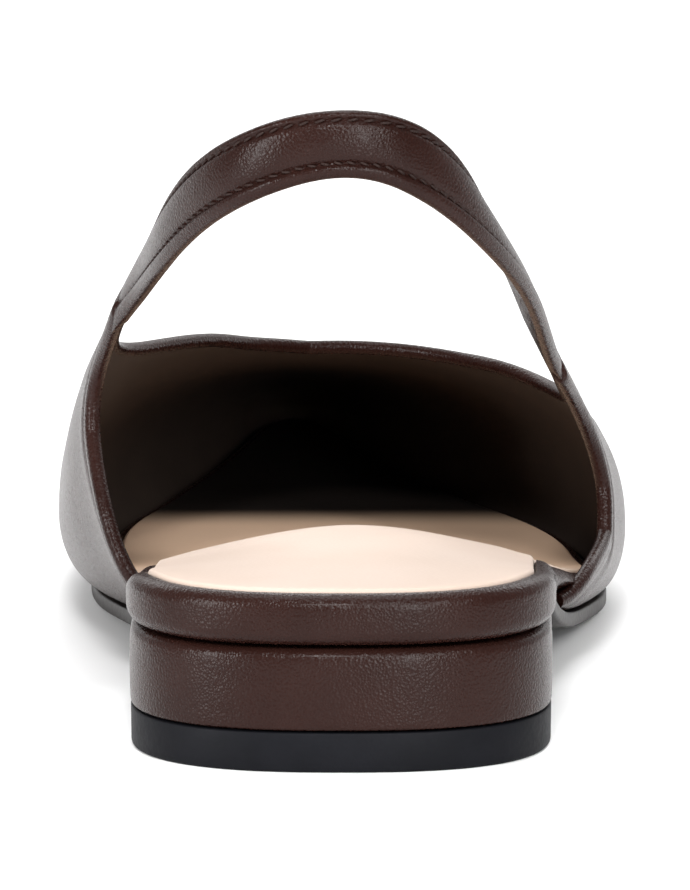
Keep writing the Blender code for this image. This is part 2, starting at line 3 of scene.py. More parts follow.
import bmesh
import bpy
import numpy as np
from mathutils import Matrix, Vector


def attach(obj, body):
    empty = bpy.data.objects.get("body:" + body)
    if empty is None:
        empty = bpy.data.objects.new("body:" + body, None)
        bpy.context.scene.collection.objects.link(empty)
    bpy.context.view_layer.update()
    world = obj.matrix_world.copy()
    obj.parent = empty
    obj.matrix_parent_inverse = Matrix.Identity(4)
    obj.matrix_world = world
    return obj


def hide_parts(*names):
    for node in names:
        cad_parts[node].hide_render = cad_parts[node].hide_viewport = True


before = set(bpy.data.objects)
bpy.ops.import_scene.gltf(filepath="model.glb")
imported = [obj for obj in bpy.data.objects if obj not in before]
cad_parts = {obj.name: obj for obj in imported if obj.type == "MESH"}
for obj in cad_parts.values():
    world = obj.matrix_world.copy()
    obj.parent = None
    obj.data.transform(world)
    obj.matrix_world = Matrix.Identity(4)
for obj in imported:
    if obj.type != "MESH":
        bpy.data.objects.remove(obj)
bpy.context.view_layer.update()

mm = 0.001

# the shoe is worked out from the back of its heel: x to the lateral side, y to the toe, z up
# shift brings it over the middle of its own box, where the CAD has it
shoe = dict(
    length=264 * mm, heelWidth=60.6 * mm, ballWidth=79 * mm, heelHeight=17.3 * mm, toeSpring=4.5 * mm,
    gap=0.3 * mm, shift=(-0.12 * mm, -132 * mm, 0.0),
    waist=(0.20, 0.55), heelBackDepth=28 * mm, heelSquareness=2.5, toeRound=12 * mm, toeSquareness=2.3,
    instep=82 * mm,
)
outline = dict(
    along=(0.000, 0.110, 0.200, 0.284, 0.379, 0.436, 0.477, 0.549, 0.644, 0.758, 0.852, 0.928, 1.000),
    lateral=(0.500, 0.500, 0.508, 0.516, 0.508, 0.511, 0.517, 0.513, 0.462, 0.308, 0.155, 0.060, -0.010),
    medial=(0.500, 0.499, 0.486, 0.461, 0.451, 0.460, 0.472, 0.488, 0.485, 0.400, 0.312, 0.246, 0.190),
)
# rise is a share of the shank's height, spring of the toe spring, insole of the insole's heel thickness
# fall is the share of the insole's thickness by which its edges lie lower than its middle
underside = dict(
    along=(0.000, 0.055, 0.182, 0.227, 0.273, 0.322, 0.379, 0.436,
           0.477, 0.520, 0.560, 0.720, 0.810, 0.900, 1.000),
    rise=(1.000, 1.000, 0.990, 0.780, 0.555, 0.370, 0.215, 0.112,
          0.060, 0.020, 0.000, 0.000, 0.000, 0.000, 0.000),
    spring=(0.000, 0.000, 0.000, 0.000, 0.000, 0.000, 0.000, 0.000,
            0.000, 0.000, 0.000, 0.000, 0.170, 0.500, 1.000),
    insole=(1.000, 1.000, 1.000, 1.090, 1.200, 1.150, 0.980, 0.745,
            0.580, 0.460, 0.420, 0.420, 0.420, 0.420, 0.420),
    fall=(0.000, 0.000, 0.640, 0.560, 0.470, 0.420, 0.340, 0.220,
          0.120, 0.050, 0.000, 0.000, 0.000, 0.000, 0.000),
)


def naturalSpline(x, v, at):
    # natural cubic spline: on each stretch the two end values blended, plus a cubic of the end bends
    x, v, at = np.asarray(x, float), np.asarray(v, float), np.asarray(at, float)
    n, step = len(x), np.diff(x)
    system, right = np.eye(n), np.zeros(v.shape)
    for i in range(1, n - 1):
        system[i, i - 1:i + 2] = step[i - 1], 2 * (step[i - 1] + step[i]), step[i]
        right[i] = 6 * ((v[i + 1] - v[i]) / step[i] - (v[i] - v[i - 1]) / step[i - 1])
    bend = np.linalg.solve(system, right)
    i = np.clip(np.searchsorted(x, at) - 1, 0, n - 2)
    h = step[i]
    a, b = (x[i + 1] - at) / h, (at - x[i]) / h
    if v.ndim > 1:
        a, b, h = a[..., None], b[..., None], h[..., None]
    return a * v[i] + b * v[i + 1] + ((a ** 3 - a) * bend[i] + (b ** 3 - b) * bend[i + 1]) * h * h / 6


def steadySpline(x, v, at):
    # cubic between the points whose slope is the harmonic mean of its neighbours' slopes, so flats stay flat
    x, v = np.asarray(x, float), np.asarray(v, float)
    step = np.diff(x)
    slope = np.diff(v) / step
    tangent = np.zeros(len(v))
    for i in range(1, len(v) - 1):
        if slope[i - 1] * slope[i] > 0:
            a, b = 2 * step[i] + step[i - 1], step[i] + 2 * step[i - 1]
            tangent[i] = (a + b) / (a / slope[i - 1] + b / slope[i])
    tangent[0], tangent[-1] = slope[0], slope[-1]
    i = np.clip(np.searchsorted(x, at) - 1, 0, len(step) - 1)
    t = np.clip((at - x[i]) / step[i], 0, 1)
    return ((2 * t ** 3 - 3 * t ** 2 + 1) * v[i] + (t ** 3 - 2 * t ** 2 + t) * step[i] * tangent[i]
            + (3 * t ** 2 - 2 * t ** 3) * v[i + 1] + (t ** 3 - t ** 2) * step[i] * tangent[i + 1])


def smoothStep(at, start, end):
    # 0 before start, 1 after end, and three times the square less twice the cube of the share between them
    t = np.clip((np.asarray(at, float) - start) / (end - start), 0, 1)
    return t * t * (3 - 2 * t)


def blend(a, b, share):
    # a, plus the share of the way from a to b
    return a + (b - a) * share


def bump(at, middle, width):
    # bell curve: 1 at the middle, 0.6 at one width away
    return np.exp(-0.5 * ((at - middle) / width) ** 2)


def unit(v):
    # each vector divided by its own length
    return v / np.maximum(np.linalg.norm(v, axis=-1, keepdims=True), 1e-12)


def halfWidths(y):
    # lateral and medial distances of the sole's edge from the heel's centreline, before the ends are
    # rounded: a width that grows from the heel's to the ball's, times the outline's shares
    at = np.asarray(y) / shoe["length"]
    width = blend(shoe["heelWidth"], shoe["ballWidth"], smoothStep(at, *shoe["waist"]))
    return (width * naturalSpline(outline["along"], outline["lateral"], at),
            width * naturalSpline(outline["along"], outline["medial"], at))


def superEnd(t, power):
    # quarter of a superellipse: 0 at the end, 1 one depth further in
    return (1 - (1 - np.clip(t, 0, 1)) ** power) ** (1 / power)


def soleEdge(y, side):
    # x of the sole's edge: the outline's middle plus or minus half its width, closed by both rounded ends
    lateral, medial = halfWidths(y)
    close = (superEnd(y / shoe["heelBackDepth"], shoe["heelSquareness"])
             * superEnd((shoe["length"] - y) / shoe["toeRound"], shoe["toeSquareness"]))
    return (lateral - medial) / 2 + side * (lateral + medial) / 2 * close


def undersideShare(column, y):
    # a column of the table at y, as a share of the length
    return steadySpline(underside["along"], underside[column], np.asarray(y) / shoe["length"])


def soleBottom(y):
    # the shank's height and the toe spring, each times its share at this place
    shank = shoe["heelHeight"] - sole["thickness"]
    return undersideShare("rise", y) * shank + undersideShare("spring", y) * shoe["toeSpring"]


def soleTop(y):
    # the bottom plus the sole's thickness
    return soleBottom(y) + sole["thickness"]


def insoleMiddle(y):
    # height of the insole along its middle: the sole, the gap, and the insole's thickness there
    return soleTop(y) + insole["gap"] + undersideShare("insole", y) * insole["thickness"]


def insoleFall(y, side):
    # how much lower the insole's edge lies than its middle
    fall = undersideShare("fall", y) * undersideShare("insole", y) * insole["thickness"]
    return np.where(np.asarray(side) < 0, fall, fall * insole["lateralFall"])


def insoleTop(x, y):
    # domed across: the middle's height less the fall times the square of the share of the way to the edge
    lateral, medial = soleEdge(y, 1), soleEdge(y, -1)
    middle, half = (lateral + medial) / 2, np.maximum((lateral - medial) / 2, mm)
    return insoleMiddle(y) - insoleFall(y, x - middle) * np.minimum(((x - middle) / half) ** 2, 1)


def outlineRing(start, end, count):
    # both sides of the sole from start to end as one ring of (x, y), with the inward direction and the side
    angle = np.linspace(0, np.pi, count + 1)
    y = start + (end - start) * (1 - np.cos(angle)) / 2
    parts = []
    for side in (1.0, -1.0):
        x = soleEdge(y, side)
        points = np.stack([x, y], 1)
        along = np.gradient(points, axis=0)
        if start <= 0:
            along[0] = (side, 0)
        if end >= shoe["length"]:
            along[-1] = (-side, 0)
        along = unit(along)
        inward = np.stack([-along[:, 1], along[:, 0]], 1) * side
        part = np.concatenate([points, inward, np.full((len(y), 1), side), y[:, None]], 1)
        if side < 0:
            # the two sides share the points at the rounded ends
            part = part[1 if start <= 0 else 0:-1 if end >= shoe["length"] else None][::-1]
        parts.append(part)
    return np.concatenate(parts)


def ringSolid(levels, start, end, count):
    # rings of the outline, each moved inwards, drawn a share of the way to the spine and given its height
    ring = outlineRing(start, end, count)
    xy, inward, side, station = ring[:, :2], ring[:, 2:4], ring[:, 4], ring[:, 5]
    half = soleEdge(np.array([(start + end) / 2]), 1)[0] * 0.5
    rings = []
    for inset, toSpine, height in levels:
        by = inset(station, side) if callable(inset) else np.full(len(station), inset)
        moved = xy + inward * by[:, None]
        moved[:, 1] = np.clip(moved[:, 1], start + by, end - by)
        spineY = np.clip(station, start + half, end - half)
        spineX = (soleEdge(spineY, 1) + soleEdge(spineY, -1)) / 2
        px, py = blend(moved[:, 0], spineX, toSpine), blend(moved[:, 1], spineY, toSpine)
        rings.append(np.stack([px, py, height(px, py)], 1))
    return np.stack(rings)


def gridFaces(rows, columns, closed):
    # quads of a grid of rows by columns; a closed grid joins its last column to its first
    r = np.arange(rows - 1)[:, None]
    k = np.arange(columns if closed else columns - 1)[None, :]
    after = (k + 1) % columns
    here, above = r * columns, (r + 1) * columns
    return np.stack([here + k, here + after, above + after, above + k], -1).reshape(-1, 4)


def newMesh(name, points, quads, material, caps=(), weld=0.0, sharp=None):
    # puts points and faces into a mesh object that stands at the origin, then merges doubles and dead faces
    mesh = bpy.data.meshes.new(name)
    flat = np.asarray(points, float).reshape(-1, 3) + np.array(shoe["shift"])
    mesh.from_pydata(flat.tolist(), [], np.asarray(quads).tolist() + [list(c) for c in caps])
    mesh.materials.append(material)
    obj = bpy.data.objects.new(name, mesh)
    bpy.context.scene.collection.objects.link(obj)
    if weld:
        cleanMesh(mesh, weld)
    mesh.shade_smooth()
    if sharp:
        mesh.set_sharp_from_angle(angle=math.radians(sharp))
    return obj


def cleanMesh(mesh, distance):
    # merges points closer than the distance and takes out what has no area
    bm = bmesh.new()
    bm.from_mesh(mesh)
    bmesh.ops.remove_doubles(bm, verts=bm.verts, dist=distance)
    bmesh.ops.dissolve_degenerate(bm, edges=bm.edges, dist=distance / 2)
    bm.to_mesh(mesh)
    bm.free()


def sweep(middle, out, up, profile):
    # carries a closed profile of (out, up) pairs along a path; profile may differ at each station
    profile = np.asarray(profile, float)
    if profile.ndim == 2:
        profile = np.broadcast_to(profile, (len(middle),) + profile.shape)
    return middle[:, None] + out[:, None] * profile[..., :1] + up[:, None] * profile[..., 1:2]


def sweptPiece(name, middle, out, up, profile, material, **more):
    # a profile carried along a path and closed at both ends
    points = sweep(middle, out, up, profile)
    rows, columns = points.shape[:2]
    caps = (range(columns - 1, -1, -1), range((rows - 1) * columns, rows * columns))
    return newMesh(name, points, gridFaces(rows, columns, True), material, caps, **more)


# tone, swell, grain, pore, nap and speckle are waves or cells to the metre; the depths are in metres
nap = dict(lighten=1.25, tone=90, toneFrom=0.3, toneTo=0.75, nap=1800, napDepth=0.00005, napStrength=0.6)
moulded = dict(lighten=1.4, tone=150, toneFrom=0.35, toneTo=0.75,
               speckle=1200, speckleDepth=0.00006, speckleStrength=0.7, glossDown=0.06, glossUp=0.12)
leatherLook = dict(
    base=(0.0145, 0.0052, 0.0039), warm=(0.0200, 0.0077, 0.0059), roughness=0.26, specular=0.11,
    coat=0.03, coatRoughness=0.16, tone=60, toneFrom=0.35, toneTo=0.7,
    swell=220, swellDepth=0.00012, swellStrength=0.6, grain=2500, grainDepth=0.00010, grainStrength=0.7,
    pore=5200, poreDepth=0.00002, poreStrength=0.6, glossDown=0.05, glossUp=0.09,
)
liningLook = dict(base=(0.031, 0.0215, 0.017), roughness=0.70, specular=0.15, **nap)
sockLook = dict(
    base=(0.515, 0.415, 0.352), shade=(0.475, 0.374, 0.309), roughness=0.55, specular=0.15,
    tone=45, toneFrom=0.35, toneTo=0.8, swell=160, swellDepth=0.0002, swellStrength=0.35,
    grain=1500, grainDepth=0.00005, grainStrength=0.4,
    # painted shade with a painted warm bounce of light from the brown leather: the sock ahead of the arch,
    # between the two distances along the shoe
    tan=(0.86, 0.60, 0.42), paintedWarmShadeFrom=-0.060, paintedWarmShadeTo=0.000,
    # painted shadow: near-black over the sock's forepart, where the vamp shades the inside of the toe,
    # between the two distances along the shoe
    paintedShadow=(0.012, 0.009, 0.008), paintedShadowFrom=0.040, paintedShadowTo=0.058,
)
soleLook = dict(base=(0.010, 0.0075, 0.0065), roughness=0.40, specular=0.12, **moulded)
rubberLook = dict(base=(0.0045, 0.0047, 0.0062), roughness=0.5, specular=0.08, **moulded)
threadLook = dict(base=(0.014, 0.006, 0.0045), roughness=0.6, specular=0.2, **nap)


def startMaterial(name, look):
    # plain finish of the look's own values, with the object's coordinates for what lies over it
    material = bpy.data.materials.new(name)
    material.use_nodes = True
    tree = material.node_tree
    shader = tree.nodes["Principled BSDF"]
    shader.inputs["Base Color"].default_value = (*look["base"], 1)
    shader.inputs["Roughness"].default_value = look["roughness"]
    shader.inputs["Specular IOR Level"].default_value = look["specular"]
    place = tree.nodes.new("ShaderNodeTexCoord")
    return material, tree, shader, place.outputs["Object"]


def noiseNode(tree, place, scale, detail):
    # soft noise from 0 to 1, scale waves to the metre
    node = tree.nodes.new("ShaderNodeTexNoise")
    node.inputs["Scale"].default_value = scale
    node.inputs["Detail"].default_value = detail
    tree.links.new(place, node.inputs["Vector"])
    return node.outputs["Fac"]


def cellNode(tree, place, scale):
    # distance to the nearest of the scattered points, scale of them to the metre
    node = tree.nodes.new("ShaderNodeTexVoronoi")
    node.inputs["Scale"].default_value = scale
    tree.links.new(place, node.inputs["Vector"])
    return node.outputs["Distance"]


def rampNode(tree, value, low, high, colorLow, colorHigh):
    # straight from one colour at low to the other at high
    node = tree.nodes.new("ShaderNodeValToRGB")
    node.color_ramp.elements[0].position = low
    node.color_ramp.elements[1].position = high
    node.color_ramp.elements[0].color = (*colorLow, 1)
    node.color_ramp.elements[1].color = (*colorHigh, 1)
    tree.links.new(value, node.inputs["Fac"])
    return node.outputs["Color"]


def bumpNode(tree, height, distance, strength, below=None):
    # tilts the normal as if the surface rose by height times distance, over what lies below
    node = tree.nodes.new("ShaderNodeBump")
    node.inputs["Distance"].default_value = distance
    node.inputs["Strength"].default_value = strength
    tree.links.new(height, node.inputs["Height"])
    if below is not None:
        tree.links.new(below, node.inputs["Normal"])
    return node.outputs["Normal"]


def rangeNode(tree, value, low, high):
    # low, plus value times the difference between high and low
    node = tree.nodes.new("ShaderNodeMapRange")
    node.inputs["To Min"].default_value = low
    node.inputs["To Max"].default_value = high
    tree.links.new(value, node.inputs["Value"])
    return node.outputs["Result"]


def mottled(tree, place, look, other):
    # wide soft patches that go over from the base colour to the other one
    tone = noiseNode(tree, place, look["tone"], 3)
    return rampNode(tree, tone, look["toneFrom"], look["toneTo"], look["base"], other)


def speckledGloss(tree, speckle, look):
    # roughness from a little under the look's own to a little over it
    middle = look["roughness"]
    return rangeNode(tree, speckle, middle - look["glossDown"], middle + look["glossUp"])


def makeLeather(name, look):
    # fine pebbled grain of cells over a softer noise, a brown that varies a little, satin under a thin coat
    material, tree, shader, place = startMaterial(name, look)
    tree.links.new(mottled(tree, place, look, look["warm"]), shader.inputs["Base Color"])
    cells = cellNode(tree, place, look["grain"])
    fine = noiseNode(tree, place, look["pore"], 2)
    soft = noiseNode(tree, place, look["swell"], 2)
    normal = bumpNode(tree, soft, look["swellDepth"], look["swellStrength"])
    normal = bumpNode(tree, cells, look["grainDepth"], look["grainStrength"], normal)
    normal = bumpNode(tree, fine, look["poreDepth"], look["poreStrength"], normal)
    tree.links.new(normal, shader.inputs["Normal"])
    tree.links.new(speckledGloss(tree, cells, look), shader.inputs["Roughness"])
    shader.inputs["Coat Weight"].default_value = look["coat"]
    shader.inputs["Coat Roughness"].default_value = look["coatRoughness"]
    return material


def makeLining(name, look):
    # smooth lining leather: soft mottling and a faint nap
    material, tree, shader, place = startMaterial(name, look)
    lighter = tuple(c * look["lighten"] for c in look["base"])
    tree.links.new(mottled(tree, place, look, lighter), shader.inputs["Base Color"])
    fibres = noiseNode(tree, place, look["nap"], 3)
    tree.links.new(bumpNode(tree, fibres, look["napDepth"], look["napStrength"]), shader.inputs["Normal"])
    return material


def forwardMix(tree, forward, low, high, behind, ahead):
    # goes over from one colour to the other between two distances along the shoe
    share = tree.nodes.new("ShaderNodeMapRange")
    share.interpolation_type = "SMOOTHSTEP"
    share.inputs["From Min"].default_value = low
    share.inputs["From Max"].default_value = high
    tree.links.new(forward, share.inputs["Value"])
    mix = tree.nodes.new("ShaderNodeMixRGB")
    mix.inputs["Color2"].default_value = (*ahead, 1)
    tree.links.new(share.outputs["Result"], mix.inputs["Fac"])
    tree.links.new(behind, mix.inputs["Color1"])
    return mix.outputs["Color"]


def makeSock(name, look):
    # pale sheepskin sock with a faint warm mottling, then a painted warm tan shade ahead of the arch, then a
    # painted dark shadow over the forefoot inside the toe
    material, tree, shader, place = startMaterial(name, look)
    pale = mottled(tree, place, look, look["shade"])
    split = tree.nodes.new("ShaderNodeSeparateXYZ")
    tree.links.new(place, split.inputs["Vector"])
    forward = split.outputs["Y"]
    # painted warm shade with painted bounce light over the sock ahead of the arch
    color = forwardMix(tree, forward, look["paintedWarmShadeFrom"], look["paintedWarmShadeTo"], pale, look["tan"])
    # painted shadow over the sock's forepart inside the toe
    color = forwardMix(tree, forward, look["paintedShadowFrom"], look["paintedShadowTo"], color, look["paintedShadow"])
    tree.links.new(color, shader.inputs["Base Color"])
    soft = noiseNode(tree, place, look["swell"], 2)
    cells = cellNode(tree, place, look["grain"])
    normal = bumpNode(tree, soft, look["swellDepth"], look["swellStrength"])
    normal = bumpNode(tree, cells, look["grainDepth"], look["grainStrength"], normal)
    tree.links.new(normal, shader.inputs["Normal"])
    return material


def makeRubber(name, look):
    # moulded rubber: fine speckle in its gloss and a faint matte texture
    material, tree, shader, place = startMaterial(name, look)
    speckle = noiseNode(tree, place, look["speckle"], 2)
    tree.links.new(speckledGloss(tree, speckle, look), shader.inputs["Roughness"])
    normal = bumpNode(tree, speckle, look["speckleDepth"], look["speckleStrength"])
    tree.links.new(normal, shader.inputs["Normal"])
    lighter = tuple(c * look["lighten"] for c in look["base"])
    tree.links.new(mottled(tree, place, look, lighter), shader.inputs["Base Color"])
    return material


leather = makeLeather("brownLeather", leatherLook)
lining = makeLining("liningLeather", liningLook)
sockLeather = makeSock("sockLeather", sockLook)
soleCompound = makeRubber("soleCompound", soleLook)
blackRubber = makeRubber("blackRubber", rubberLook)
thread = makeLining("brownThread", threadLook)
print("materials ready")

heel = dict(
    topPiece=5.6 * mm, topPieceInset=0.7 * mm, length=48 * mm, edge=1.5 * mm, slimming=0.6 * mm,
    coverEdge=0.45 * mm, swell=0.12 * mm, floorEdge=(0.5 * mm, 0.6 * mm), upperEdge=0.25 * mm,
    upperInset=0.05 * mm, wallFrom=1 * mm, wallTo=2 * mm,
)
sole = dict(thickness=2.3 * mm, edge=0.5 * mm, upperEdge=0.3 * mm)
insole = dict(
    thickness=7.2 * mm, edge=2.1 * mm, toeInset=3.3 * mm, gap=0.45 * mm, liningGap=0.35 * mm,
    lateralStepIn=(0.235, 0.284), medialStepIn=(0.165, 0.235), wallReach=(0.40, 0.56), thinning=(0.2, 0.44),
    thinEdge=0.4, border=3.0 * mm, toeBorder=1.3 * mm, lateralFall=0.8,
    lip=0.3 * mm, lipDrop=0.05 * mm,
)
sock = dict(
    thickness=1.1 * mm, recess=0.8 * mm, clear=0.1 * mm, under=0.15 * mm, edge=0.7 * mm, edgeFoot=0.35,
    shoulder=2.5 * mm, shoulderShare=0.3, level=5 * mm,
    padHeight=2.6 * mm, padLength=21 * mm, padWidth=12.5 * mm, padOffset=2.6 * mm, padAlong=0.275,
    sway=4 * mm, swayLength=9 * mm,
    creases=((47 * mm, 2.2 * mm, 0.16 * mm), (56 * mm, 2.6 * mm, 0.12 * mm)),  # place, width and depth
)
weldDistance = 0.01 * mm


def heelSlice(name, levels, material, count=90):
    # level rings of the heel's outline, each a height and an inset, closed by two flat faces
    flat = [(inset, 0, lambda x, y, z=z: np.full(len(x), z)) for z, inset in levels]
    rings = ringSolid(flat, 0.0, heel["length"], count)
    size = rings.shape[1]
    caps = (range(size - 1, -1, -1), range((len(rings) - 1) * size, len(rings) * size))
    return newMesh(name, rings, gridFaces(len(rings), size, True), material, caps, sharp=50)


def quarterTurn(steps):
    # angles from 0 to a quarter turn in equal steps
    return np.radians(np.linspace(0, 90, steps))


def makeHeel():
    # level rings of height and inset; each rounded edge is a quarter circle or ellipse
    top, slim, edge, cover = heel["topPiece"], heel["slimming"], heel["edge"], heel["coverEdge"]
    (floorUp, floorIn), small = heel["floorEdge"], heel["upperEdge"]
    floorEdge = [(floorUp * (1 - math.cos(a)), heel["topPieceInset"] + floorIn * (1 - math.sin(a)))
                 for a in quarterTurn(5)]
    upperEdge = [(top - small + small * math.sin(a), slim + heel["upperInset"] + small * (1 - math.cos(a)))
                 for a in quarterTurn(4)]
    topPiece = heelSlice("heelTopPiece", floorEdge + upperEdge, blackRubber)
    low, high = top + shoe["gap"], shoe["heelHeight"]
    foot = [(low + cover * (1 - math.cos(a)), slim + cover * (1 - math.sin(a))) for a in quarterTurn(5)]
    # the covered wall swells a little between its edges, by half a sine wave
    walls = [(z, slim - heel["swell"] * math.sin(math.pi * (z - low) / (high - low)))
             for z in np.linspace(low + heel["wallFrom"], high - heel["wallTo"], 8)]
    shoulder = [(high - edge * (1 - math.sin(a)), slim + edge * (1 - math.cos(a))) for a in quarterTurn(9)]
    block = heelSlice("heelBlock", foot + walls + shoulder, leather)
    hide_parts("heel_top_piece")
    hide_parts("heel_block")
    return [topPiece, block]


def insoleInset(y, side, share=1.0):
    # flush with the sole at the heel, drawn in ahead of where each wing starts
    # share is 0 at the lower face and 1 at the upper face, which reaches out to the wall of the upper
    at = y / shoe["length"]
    side = np.broadcast_to(side, np.shape(y))
    drawn = np.where(side > 0, smoothStep(at, *insole["lateralStepIn"]),
                     smoothStep(at, *insole["medialStepIn"]))
    wallInset = np.zeros(np.shape(y))
    for one in (1.0, -1.0):
        wall = lastPoint(y, one, turnAt(y, one, insoleMiddle(y) - insoleFall(y, one)))[..., 0]
        room = one * (soleEdge(y, one) - wall) + upper["wall"] + insole["liningGap"]
        wallInset = np.where(side == one, room, wallInset)
    reach = share * (1 - smoothStep(at, *insole["wallReach"]))
    return drawn * blend(insole["toeInset"], np.minimum(wallInset, insole["toeInset"]), reach)


def insoleEdge(y):
    # rounding of the insole's edge, which shrinks where the insole thins
    return insole["edge"] * blend(1, insole["thinEdge"], smoothStep(y / shoe["length"], *insole["thinning"]))


def sockBorder(y):
    # width of the covered edge round the sock, which narrows over the same stretch
    return blend(insole["border"], insole["toeBorder"], smoothStep(y / shoe["length"], *insole["thinning"]))


def archPad(x, y):
    # the sock's crown: a bell curve along times a bell curve across, over the arch
    along = (y - sock["padAlong"] * shoe["length"]) / sock["padLength"]
    across = (x - sock["padOffset"]) / sock["padWidth"]
    return sock["padHeight"] * np.exp(-0.5 * (along ** 2 + across ** 2))


def ringPiece(name, levels, start, material, count, sharp):
    # one closed piece of rings from start to the toe, both faces drawn to the spine and welded there
    rings = ringSolid(levels, start, shoe["length"], count)
    quads = gridFaces(len(rings), rings.shape[1], True)
    return newMesh(name, rings, quads, material, weld=weldDistance, sharp=sharp)


def makeOutsole():
    # flat underside, rounded lower and upper edges, flat upper face
    # each level is its inset, its share of the way to the spine, and its height
    edge, small = sole["edge"], sole["upperEdge"]
    levels = [(edge, s, lambda x, y: soleBottom(y)) for s in (1, 0.7, 0.4, 0.15, 0)]
    for a in quarterTurn(5)[1:]:
        levels.append((edge * (1 - math.sin(a)), 0,
                       lambda x, y, a=a: soleBottom(y) + edge * (1 - math.cos(a))))
    for a in quarterTurn(4)[::-1]:
        levels.append((small * (1 - math.sin(a)), 0,
                       lambda x, y, a=a: soleTop(y) - small * (1 - math.cos(a))))
    levels += [(small, s, lambda x, y: soleTop(y)) for s in (0.15, 0.5, 1)]
    start = heel["length"] + shoe["gap"]
    piece = ringPiece("outsole", levels, start, soleCompound, 130, 60)
    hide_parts("outsole")
    return piece


def makeCoveredInsole():
    # rounded lower edge, rounded upper edge, a small lip, and the recess that the sock lies in
    def bottom(x, y): return soleTop(y) + insole["gap"]
    def recessed(x, y): return insoleTop(x, y) - sock["recess"]
    def border(y, side): return insoleInset(y, side) + sockBorder(y)
    levels = [(lambda y, side: insoleInset(y, side, 0) + insoleEdge(y), s, bottom) for s in (1, 0.5, 0.15)]
    for a in quarterTurn(8):
        levels.append((lambda y, side, a=a: insoleInset(y, side, 0) + insoleEdge(y) * (1 - math.sin(a)), 0,
                       lambda x, y, a=a: bottom(x, y) + insoleEdge(y) * (1 - math.cos(a))))
    for a in quarterTurn(8)[::-1]:
        levels.append((lambda y, side, a=a: insoleInset(y, side) + insoleEdge(y) * (1 - math.sin(a)), 0,
                       lambda x, y, a=a: insoleTop(x, y) - insoleEdge(y) * (1 - math.cos(a))))
    levels.append((lambda y, side: border(y, side) - insole["lip"], 0,
                   lambda x, y: insoleTop(x, y) - insole["lipDrop"]))
    levels += [(border, s, recessed) for s in np.linspace(0, 1, 9)]
    piece = ringPiece("coveredInsole", levels, 0.0, leather, 150, 60)
    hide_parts("covered_insole")
    return piece


def makeSockLining():
    # soft crown over the arch, an edge that rolls down into the covered insole, and two faint pull creases
    def border(y, side): return insoleInset(y, side) + sockBorder(y) + sock["clear"]
    def bottom(x, y): return insoleTop(x, y) - sock["recess"] + sock["under"]
    def creases(x, y):
        # soft troughs across the sock that sway from side to side by a sine
        along = y - sock["sway"] * np.sin(x / sock["swayLength"])
        return -sum(depth * bump(along, place, width) for place, width, depth in sock["creases"])
    def top(x, y): return bottom(x, y) + sock["thickness"] + archPad(x, y) + creases(x, y)
    def shoulder(x, y): return bottom(x, y) + sock["thickness"] + sock["shoulderShare"] * archPad(x, y)
    foot = sock["edgeFoot"]
    def rolled(x, y, a): return bottom(x, y) + sock["thickness"] * (foot + (1 - foot) * math.sin(a))
    levels = [(border, s, bottom) for s in np.linspace(1, 0, 9)]
    for a in quarterTurn(6):
        levels.append((lambda y, side, a=a: border(y, side) + sock["edge"] * (1 - math.cos(a)), 0,
                       lambda x, y, a=a: rolled(x, y, a)))
    levels.append((lambda y, side: border(y, side) + sock["shoulder"], 0, shoulder))
    levels += [(lambda y, side: border(y, side) + sock["level"], s, top) for s in np.linspace(0, 1, 22)]
    piece = ringPiece("sockLining", levels, 0.0, sockLeather, 150, 70)
    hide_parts("sock_lining")
    return piece


last = dict(
    along=(0.220, 0.303, 0.379, 0.455, 0.549, 0.625, 0.758, 0.852, 0.932, 1.000),
    lateralBulge=(0.050, 0.066, 0.070, 0.058, 0.045, 0.042, 0.036, 0.028, 0.020, 0.014),
    medialBulge=(0.095, 0.116, 0.128, 0.106, 0.070, 0.058, 0.044, 0.032, 0.022, 0.014),
    lateralWidest=(0.300, 0.249, 0.203, 0.167, 0.148, 0.142, 0.138, 0.138, 0.138, 0.140),
    medialWidest=(0.470, 0.433, 0.316, 0.217, 0.158, 0.144, 0.138, 0.138, 0.138, 0.140),
    ridge=(1.000, 0.862, 0.714, 0.592, 0.513, 0.448, 0.356, 0.300, 0.250, 0.200),
    ridgeSide=(-0.02, -0.02, -0.03, -0.045, -0.06, -0.064, -0.082, -0.092, -0.100, -0.105),
    lateralSquare=(2.05, 2.05, 2.20, 2.30, 2.20, 2.15, 2.10, 2.10, 2.10, 2.10),
    medialSquare=(2.10, 2.12, 2.40, 2.50, 2.35, 2.20, 2.15, 2.10, 2.10, 2.10),
)
upper = dict(
    wall=1.8 * mm, featherInset=1.0 * mm, featherAngle=math.radians(78), turnIn=3 * mm, throat=0.628,
    columns=240, toplineColumns=110, backColumns=75, across=70, toplineCrowding=1.2, crowding=1.7,
    leatherWall=0.95 * mm, edgeThick=1.15 * mm, edgeWide=1.35 * mm, rollShift=-0.25 * mm,
    tabShare=0.35, toplineShare=0.75, thinnest=0.72, edgeSteps=160, tabSteps=20, rollSteps=1100,
    liningClear=0.02 * mm, pathPasses=8, facingPasses=30, sizePasses=160, turnStep=0.02,
    # beside the folded edge: distance from it, width and height of its rise, pressed line and soft swell
    relief=((1.6 * mm, 0.9 * mm, 0.16 * mm), (3.6 * mm, 0.8 * mm, -0.30 * mm),
            (5.6 * mm, 1.4 * mm, 0.10 * mm)),
)
lateralEdge = dict(
    topline=((0.600, 0.444), (0.568, 0.438), (0.530, 0.421), (0.486, 0.419), (0.444, 0.438),
             (0.407, 0.478), (0.373, 0.526), (0.345, 0.574), (0.322, 0.624)),
    back=((0.296, 0.545), (0.320, 0.514), (0.345, 0.474), (0.368, 0.422), (0.384, 0.361),
          (0.391, 0.297), (0.384, 0.237), (0.355, 0.186), (0.315, 0.161), (0.284, -1)),
)
